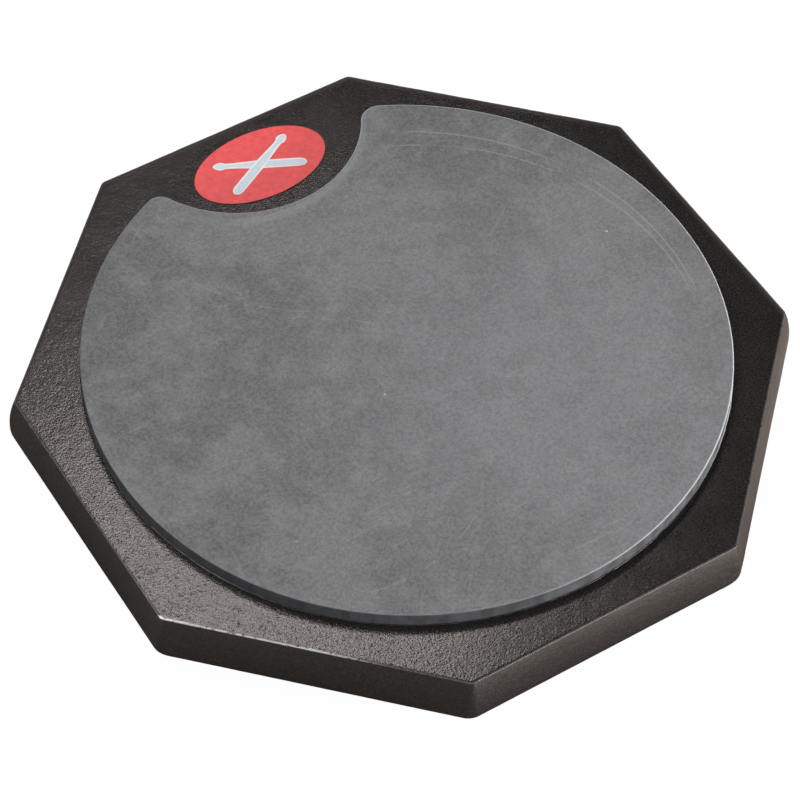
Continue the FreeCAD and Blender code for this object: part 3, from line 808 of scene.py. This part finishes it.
def brown_of_side(look, patches, specks):
    """Colour of the routed side: brown black with pale and dark grains."""
    brown = look.mix(patches, grey(0.007, (1.0, 0.82, 0.72)), grey(0.013, (1.0, 0.84, 0.76)))
    brown = look.mix(look.ramp(specks, 0.45, 1.0, 0.0, 0.5), brown, grey(0.034, (1.0, 0.86, 0.80)))
    return look.mix(look.ramp(specks, 0.45, 0.0, 0.0, 0.8), brown, grey(0.003))


def arris_beads_and_highlight(look, leftwards, diagonal):
    """1 on beads of thick paint along the arris: full on the front left arris, which carries a painted
    highlight, faint on the others.
    """
    arris = look.tag("top")
    bead = look.times(look.ramp(arris, 0.02, 0.30), look.ramp(arris, 0.97, 0.80))
    bead = look.times(bead, look.ramp(look.noise(BEAD_LENGTH, detail=2.0), 0.28, 0.46))
    front_left = look.times(diagonal, -1.0)
    near_front = look.ramp(front_left, TOP_REACH - 1.1 * MM, TOP_REACH - 0.5 * MM)
    # the front left arris is where the light's highlight falls, so the beads are fullest there
    highlit_front_edge = look.times(near_front, look.ramp(leftwards, -20 * MM, 2 * MM))
    return look.times(bead, look.ramp(highlit_front_edge, 0.0, 1.0, 0.12, 1.0))


def board_paint():
    """Black paint: sprayed pebbly on the top face, rubbed smoother on the routed sides."""
    look = Shader("board_paint")
    top = look.ramp(look.tag("top"), 0.35, 0.85)
    leftwards = look.along(-HALF_ROOT, HALF_ROOT)
    diagonal = look.along(HALF_ROOT, HALF_ROOT)

    fine = look.noise(0.30 * MM, detail=3.0)
    drag = look.noise(1.0, detail=3.0, place=look.stretched((160, 160, 1400)))
    rubbed = look.sum(look.times(fine, 1.1), look.times(drag, 0.2))
    rubbed = look.sum(rubbed, look.times(look.noise(0.85 * MM, detail=2.0), 1.2))
    height = look.blend(top, rubbed, sprayed_stipple(look, leftwards))

    patches = look.noise(9 * MM, detail=4.0, roughness=0.55)
    specks = look.ramp(look.noise(0.5 * MM, detail=3.0, roughness=0.75), 0.34, 0.66)
    bead = arris_beads_and_highlight(look, leftwards, diagonal)
    side_colour = brown_of_side(look, patches, specks)
    top_colour = black_of_top(look, patches, specks, leftwards, diagonal)
    # painted highlight: the beads' colour is mixed towards pale grey, over their real coat of gloss
    colour = look.mix(look.times(bead, 0.75), look.mix(top, side_colour, top_colour), grey(0.60))

    roughness_top = look.ramp(patches, 0.3, 0.7, 0.17, 0.20)
    roughness_side = look.ramp(drag, 0.3, 0.7, 0.46, 0.54)
    sheen_top = look.ramp(leftwards, -50 * MM, -18 * MM, 0.36, 0.5)
    # the gloss is left out at shallow angles, where the cards' reflections would bleach the paint
    shallow = look.add("ShaderNodeLayerWeight", {"Blend": 0.5}).outputs["Facing"]
    dull = look.times(top, look.ramp(shallow, 0.45, 0.72, 0.0, 0.96))
    return look.finish({
        "Coat Weight": bead,
        "Coat IOR": 2.0,
        "Coat Roughness": 0.25,
        "Base Color": colour,
        "Roughness": look.blend(top, roughness_side, roughness_top),
        "Specular IOR Level": look.blend(top, 0.5, sheen_top),
        "Specular Tint": look.mix(top, (1.0, 0.86, 0.80, 1), (1.0, 0.885, 0.85, 1)),
        "Normal": look.bump(height, 0.03 * MM),
    }, dull)


def cloudy_grey(look, grain):
    """Colour of the rubber's face: clouds of bloom, paler round one place and darker away from it."""
    # the face is paler round one place right of the middle, and darker away from it
    from_palest = look.distance(PALEST_PLACE)
    paler_round_place = look.ramp(from_palest, 15 * MM, 95 * MM, 0.62, 0.0)
    clouds = look.noise(30 * MM, detail=5.0, roughness=0.58, warp=0.6)
    mottle = look.noise(6 * MM, detail=4.0, roughness=0.62, warp=0.3)
    bloom = look.ramp(look.sum(look.times(clouds, 0.62), look.times(mottle, 0.38)), 0.42, 0.58)
    colour = look.mix(bloom, grey(0.112, (0.985, 0.975, 1.02)), grey(0.168, (0.99, 0.985, 1.02)))
    colour = look.mix(paler_round_place, colour, grey(0.240, (0.98, 0.985, 1.03)))
    colour = look.mix(look.ramp(clouds, 0.56, 0.42, 0.0, 0.11), colour, grey(0.08, (1, 0.98, 1.0)))
    colour = look.mix(look.ramp(mottle, 0.50, 0.64, 0.0, 0.10), colour, grey(0.32, (1, 0.99, 1.02)))
    colour = look.mix(look.ramp(grain, 0.34, 0.66, 0.0, 0.34), colour, grey(0.300, (1, 1, 1.02)))
    return look.mix(look.ramp(grain, 0.60, 0.30, 0.0, 0.36), colour, grey(0.070, (1, 0.98, 1)))


def hairline(look, x, y, radius, width):
    """1 along a circle drawn on the rubber's face, 0 off it."""
    off = look.maths("ABSOLUTE", look.maths("SUBTRACT", look.distance((x, y, RUBBER_TOP)), radius))
    return look.ramp(off, width, 0.3 * width)


def worn(look, colour):
    """The face's colour with straight scuffs, rub lines near the far rim, short strokes and dust."""
    scuffs = look.scratches(30 * MM, 0.5 * MM, 58, 0.70)
    scuffs = look.sum(scuffs, look.scratches(16 * MM, 0.45 * MM, -35, 0.70), clamp=True)
    scuffs = look.sum(scuffs, look.scratches(12 * MM, 0.4 * MM, 8, 0.70), clamp=True)
    scuffs = look.times(scuffs, look.ramp(look.noise(24 * MM), 0.48, 0.62))
    colour = look.mix(look.times(scuffs, 0.26), colour, grey(0.36))

    far_rim = look.ramp(look.along(1, 1), 38 * MM, 60 * MM)
    rubs = hairline(look, 0, -3 * MM, 70.4 * MM, 0.28 * MM)
    rubs = look.larger(rubs, hairline(look, 2 * MM, -5 * MM, 66.6 * MM, 0.26 * MM))
    rubs = look.times(rubs, far_rim)
    rubs = look.times(rubs, look.ramp(look.noise(15 * MM), 0.42, 0.54, 0.15, 1.0))
    strokes = 0.0
    for x, y, radius in ((-22, 44, 24), (28, 4, 27), (-34, -16, 40), (12, 62, 49), (40, -48, 62)):
        stroke = hairline(look, x * MM, y * MM, radius * MM, STROKE_WIDTH)
        strokes = look.larger(strokes, stroke)
    broken = look.ramp(look.noise(11 * MM, detail=1.0), 0.56, 0.66, 0.0, 0.6)
    marks = look.larger(rubs, look.times(strokes, broken))
    colour = look.mix(look.times(marks, 0.40), colour, grey(0.38))

    dust = look.specks(5.5 * MM, 0.42 * MM)
    dust = look.times(dust, look.ramp(look.noise(13 * MM), 0.46, 0.60))
    return look.mix(look.times(dust, 0.55), colour, grey(0.62))


def buffed_band(look, reach):
    """1 on the polished lines that follow the bite on its right, 0 elsewhere."""
    band = look.times(
        look.ramp(reach, NOTCH_RADIUS + 0.2 * MM, NOTCH_RADIUS + 0.7 * MM),
        look.ramp(reach, NOTCH_RADIUS + 3.4 * MM, NOTCH_RADIUS + 2.0 * MM),
    )
    band = look.times(band, look.ramp(look.axis("X"), -26 * MM, -8 * MM))
    wave = look.maths("SINE", look.times(reach, TAU / BUFF_SPACING))
    return look.times(band, look.ramp(wave, -0.6, 1.0, 0.45, 1.0))


def cut_wall_with_painted_light(look):
    """Colour of the knife-cut side: upright streaks, and painted light making it paler towards the right.
    """
    # painted light: the wall's colour grows paler towards the lit right side
    right = look.ramp(look.axis("X"), -75 * MM, 70 * MM)
    streaks = look.noise(1.0, detail=3.0, place=look.stretched((420, 420, 170), (0.5, 0.5, 0)))
    low = look.mix(right, grey(0.043, (0.95, 0.98, 1.06)), grey(0.062, (0.97, 0.99, 1.05)))
    high = look.mix(right, grey(0.062, (0.95, 0.98, 1.06)), grey(0.125, (0.97, 0.99, 1.05)))
    return look.mix(look.ramp(streaks, 0.35, 0.65), low, high)


def gum_rubber():
    """Grey gum rubber: cloudy bloom, fine grain, specks, scuffs and a knife-cut wall."""
    look = Shader("gum_rubber")
    rim = look.tag("rim")
    face = look.ramp(rim, -0.9, 0.0)
    grain = look.noise(0.62 * MM, detail=3.0, roughness=0.8)
    reach = look.distance_in_plan(0, NOTCH_CENTRE)
    colour = worn(look, cloudy_grey(look, grain))
    colour = look.mix(look.times(buffed_band(look, reach), 0.38), colour, grey(0.34))
    skin = look.mix(face, cut_wall_with_painted_light(look), colour)

    # painted highlight: a thin line of the eased rim is painted pale on the right and along the bite,
    # where it catches the light
    line = look.times(look.ramp(rim, -0.9, -0.6), look.ramp(rim, 0.2, -0.1))
    rim_highlight_share = look.larger(
        look.ramp(look.axis("X"), -25 * MM, 62 * MM, 0.05, 0.80),
        look.ramp(reach, NOTCH_RADIUS + 1.2 * MM, NOTCH_RADIUS + 0.5 * MM, 0.0, 0.40),
    )
    line = look.times(line, rim_highlight_share)
    return look.finish({
        "Base Color": look.mix(line, skin, grey(0.52, (0.92, 0.98, 1.04))),
        "Roughness": look.ramp(face, 0.0, 1.0, 0.50, 0.62),
        "Specular IOR Level": look.ramp(face, 0.0, 1.0, 0.25, 0.4),
        "Normal": look.bump(grain, 0.03 * MM),
    })


def printed_vinyl(name, low, high):
    """Printed and laminated vinyl, mottled between two colours."""
    look = Shader(name)
    mottle = look.ramp(look.noise(1.6 * MM, detail=4.0, roughness=0.65), 0.3, 0.7)
    return look.finish({
        "Base Color": look.mix(mottle, low, high),
        "Roughness": look.ramp(mottle, 0.3, 0.7, 0.36, 0.44),
        "Normal": look.bump(look.noise(0.5 * MM), 0.008 * MM),
    })


def dried_glue():
    """Contact glue: dark, with a painted highlight making the bead pale on the right."""
    look = Shader("contact_glue")
    smear = look.noise(1.8 * MM, detail=3.0)
    # painted highlight: the bead turns pale towards the right
    pale = look.ramp(look.axis("X"), 25 * MM, 65 * MM)
    dark = look.mix(smear, grey(0.010), grey(0.030, (1.0, 0.95, 0.85)))
    return look.finish({
        "Base Color": look.mix(pale, dark, grey(0.50, (0.95, 0.98, 1.0))),
        "Roughness": look.ramp(smear, 0.3, 0.7, 0.22, 0.4),
        "Normal": look.bump(smear, 0.03 * MM),
    })


def plated_steel(name, level):
    """Bright zinc plate: fine turning marks, faint yellow bloom."""
    look = Shader(name)
    turned = look.noise(1.0, detail=4.0, place=look.stretched((350, 350, 5200)))
    bloom = look.noise(2.2 * MM, detail=4.0)
    colour = look.mix(bloom, grey(level, (1.0, 0.98, 0.93)), grey(level * 1.25, (0.97, 0.99, 1.0)))
    return look.finish({
        "Base Color": colour,
        "Metallic": 1.0,
        "Roughness": look.ramp(turned, 0.3, 0.7, 0.24, 0.42),
        "Normal": look.bump(turned, 0.012 * MM),
    })


def moulded_rubber():
    """Black moulded rubber with a matt skin and dust in its low places."""
    look = Shader("foot_rubber")
    dust = look.noise(2.4 * MM, detail=5.0, roughness=0.65)
    dusty = look.ramp(dust, 0.45, 0.75)
    skin = look.noise(0.35 * MM, detail=2.0)
    return look.finish({
        "Base Color": look.mix(dusty, grey(0.013), grey(0.045, (1.0, 0.97, 0.92))),
        "Roughness": look.ramp(dust, 0.3, 0.7, 0.52, 0.72),
        "Normal": look.bump(skin, 0.02 * MM),
    })


# ---------------------------------------------------------------- studio

# Watts per square metre and steradian for the lights, plain strengths for the room
KEY_RADIANCE = 14.0
FRONT_RADIANCE = 30.0
LEFT_RADIANCE = 4.6
RIGHT_RADIANCE = 2.6
BACK_RADIANCE = 3.5
AROUND_BACK = 0.006
AROUND_FRONT = 0.076
BRIGHT_SIDE = 212                   # degrees from +Y towards +X
FLOOR_REACH = 3.0
CAMERA_AZIMUTH = 32.61              # the way the camera looks, in degrees from +Y towards +X
CAMERA_ELEVATION = 52.24
CAMERA_ROLL = 1.3
CAMERA_DISTANCE = 698.65 * MM
CAMERA_AIM = Vector((-7.82 * MM, -10.42 * MM, BOARD_TOP))
LENS_LENGTH = 135.8                 # for a sensor 36 mm wide


def softbox(name, azimuth, elevation, distance, width, height, radiance, colour=(1, 1, 1)):
    """A rectangular light facing the pad. Azimuth turns from +Y towards +X."""
    azimuth, elevation = math.radians(azimuth), math.radians(elevation)
    away = Vector((
        math.sin(azimuth) * math.cos(elevation),
        math.cos(azimuth) * math.cos(elevation),
        math.sin(elevation),
    ))
    data = bpy.data.lights.new(name, "AREA")
    data.shape = "RECTANGLE"
    data.size = width
    data.size_y = height
    data.energy = radiance * math.pi * width * height
    data.color = colour
    lamp = bpy.data.objects.new(name, data)
    lamp.location = Vector((0, 0, BOARD_TOP)) + away * distance
    lamp.rotation_euler = away.to_track_quat("Z", "Y").to_euler()
    bpy.context.scene.collection.objects.link(lamp)


def camera_ray(tree):
    """1 where the camera looks straight at a thing, 0 for its light and reflections."""
    return tree.nodes.new("ShaderNodeLightPath").outputs["Is Camera Ray"]


def make_floor():
    """A pale floor. The pad is lit by a darker one, bright only far right, so its paint stays black."""
    mesh = bpy.data.meshes.new("floor")
    corners = [(x * FLOOR_REACH, y * FLOOR_REACH, 0) for x, y in ((-1, -1), (1, -1), (1, 1), (-1, 1))]
    mesh.from_pydata(corners, [], [(0, 1, 2, 3)])
    floor = bpy.data.objects.new("floor", mesh)
    bpy.context.scene.collection.objects.link(floor)
    look = Shader("floor")
    rightwards = look.ramp(look.along(0.9, -0.45), -120 * MM, 160 * MM)
    bounce = look.mix(rightwards, grey(0.25, (1.0, 0.95, 0.92)), grey(0.40, (1.0, 0.86, 0.78)))
    shaded = look.ramp(look.distance((0, 0, 0)), 84 * MM, 108 * MM, 0.75, 0.0)
    bounce = look.mix(shaded, bounce, grey(0.0))
    far_right = look.ramp(look.axis("X"), 45 * MM, 90 * MM)
    bounce = look.mix(far_right, bounce, grey(0.95, (1.0, 0.87, 0.79)))
    bounced = look.add("ShaderNodeBsdfDiffuse", {"Color": bounce}).outputs[0]
    seen = look.add("ShaderNodeBsdfDiffuse", {"Color": grey(0.06)}).outputs[0]
    glow = look.add("ShaderNodeEmission", {"Color": grey(1.0), "Strength": 0.965}).outputs[0]
    lit = look.add("ShaderNodeAddShader", {0: seen, 1: glow}).outputs[0]
    both = look.add(
        "ShaderNodeMixShader", {0: camera_ray(look.tree), 1: bounced, 2: lit}
    ).outputs[0]
    look.tree.links.new(both, look.output.inputs["Surface"])
    mesh.materials.append(look.material)


def make_surroundings():
    """White to the camera; a dim room for light and reflections, brighter on the camera's side."""
    world = bpy.data.worlds.new("studio")
    world.use_nodes = True
    tree = world.node_tree
    background = tree.nodes["Background"]
    background.inputs["Color"].default_value = grey(1.0)
    direction = tree.nodes.new("ShaderNodeTexCoord")
    towards = tree.nodes.new("ShaderNodeVectorMath")
    towards.operation = "DOT_PRODUCT"
    tree.links.new(direction.outputs["Generated"], towards.inputs[0])
    side = math.radians(BRIGHT_SIDE)
    towards.inputs[1].default_value = (math.sin(side), math.cos(side), 0)
    around = tree.nodes.new("ShaderNodeMapRange")
    tree.links.new(towards.outputs["Value"], around.inputs[0])
    for number, value in enumerate((-0.2, 0.9, AROUND_BACK, AROUND_FRONT), start=1):
        around.inputs[number].default_value = value
    level = tree.nodes.new("ShaderNodeMapRange")
    tree.links.new(camera_ray(tree), level.inputs[0])
    tree.links.new(around.outputs[0], level.inputs[3])
    level.inputs[4].default_value = 1.0
    tree.links.new(level.outputs[0], background.inputs["Strength"])
    bpy.context.scene.world = world


def make_camera():
    """Long lens from the front left, looking down on the pad."""
    azimuth, elevation = math.radians(CAMERA_AZIMUTH), math.radians(CAMERA_ELEVATION)
    roll = math.radians(CAMERA_ROLL)
    forward = Vector((
        math.sin(azimuth) * math.cos(elevation),
        math.cos(azimuth) * math.cos(elevation),
        -math.sin(elevation),
    ))
    data = bpy.data.cameras.new("camera")
    data.lens = LENS_LENGTH
    data.sensor_width = 36.0
    data.clip_start = 0.01
    camera = bpy.data.objects.new("camera", data)
    turn = (-forward).to_track_quat("Z", "Y").to_matrix() @ Matrix.Rotation(roll, 3, "Z")
    camera.matrix_world = Matrix.Translation(CAMERA_AIM - forward * CAMERA_DISTANCE) @ turn.to_4x4()
    bpy.context.scene.collection.objects.link(camera)
    bpy.context.scene.camera = camera


# ---------------------------------------------------------------- put it together

def dress(node, material):
    """Give a CAD node this material in all its slots."""
    for slot in NODES[node].material_slots:
        slot.material = material


zinc = plated_steel("zinc_steel", 0.55)
foot_black = moulded_rubber()
show(board_mesh(), board_paint(), "base_board")
show(rubber_mesh(), gum_rubber(), "playing_surface")
show(glue_mesh(), dried_glue(), "pad_adhesive")
show(nut_mesh(), zinc, "stand_insert")
for corner in ("front_left", "front_right", "rear_left", "rear_right"):
    node = corner + "_foot"
    show(foot_mesh("moulded_" + node, node), foot_black, node)
white_ink = printed_vinyl("white_ink", (0.90, 0.91, 0.93, 1), (0.96, 0.97, 0.98, 1))
silver_ink = printed_vinyl("silver_ink", (0.64, 0.73, 0.79, 1), (0.72, 0.81, 0.86, 1))
show(motif_mesh("emblem_outline", 0.42 * MM, MOTIF_LAYER), white_ink)
show(motif_mesh("emblem_sticks", 0.0, 2 * MOTIF_LAYER), silver_ink)
red_vinyl = printed_vinyl("label_vinyl", (0.82, 0.050, 0.056, 1), (0.96, 0.088, 0.086, 1))
dress("emblem_label", red_vinyl)
dress("foot_washers", zinc)
dress("foot_screws", plated_steel("zinc_screw", 0.50))

make_floor()
make_surroundings()
# azimuth and elevation in degrees, then distance, width and height in metres
softbox("key", -23.2, 67.7, 1.35, 1.60, 0.20, KEY_RADIANCE)
softbox("front_card", 151, 8, 0.70, 0.42, 0.19, FRONT_RADIANCE)
softbox("left_card", 268, 8, 0.80, 1.0, 0.20, LEFT_RADIANCE)
softbox("right_card", 82, 14, 1.2, 0.6, 0.5, RIGHT_RADIANCE, (1.0, 0.90, 0.82))
softbox("back_card", 55, 9, 1.3, 1.7, 0.30, BACK_RADIANCE)
make_camera()
bpy.context.scene.view_settings.view_transform = "Standard"
